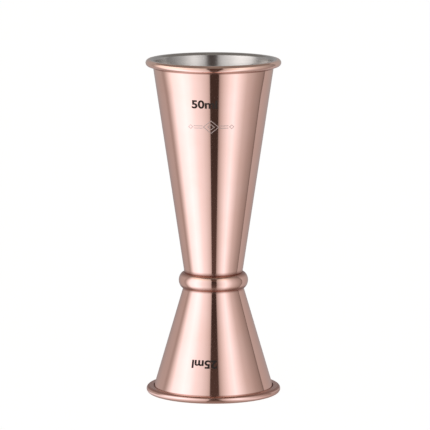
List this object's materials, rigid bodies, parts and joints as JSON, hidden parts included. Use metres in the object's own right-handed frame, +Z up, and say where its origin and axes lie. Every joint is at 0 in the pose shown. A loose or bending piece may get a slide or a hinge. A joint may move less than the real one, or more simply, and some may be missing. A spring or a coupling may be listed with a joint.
{
  "type": "bar jigger",
  "caption": "Double-ended cocktail measure: a tall and a short conical cup with rolled rims, joined base to base inside a waist ring, copper-plated outside.",
  "frame": {"origin": "on the jigger's axis, in the plane of the small cup's rim, which it stands on", "axes": "+Z up the axis towards the large cup's mouth; the measure marks face -Y"},
  "size_m": [0.0458, 0.0458, 0.114],
  "materials": {
    "copper_plated_steel": "polished",
    "bare_steel": "satin",
    "laser_mark": "satin"
  },
  "bodies": {
    "root": {"big_cup": "copper_plated_steel", "small_cup": "copper_plated_steel", "waist_ring": "copper_plated_steel", "base_weld_nuggets": "bare_steel"}
  },
  "joints": []
}
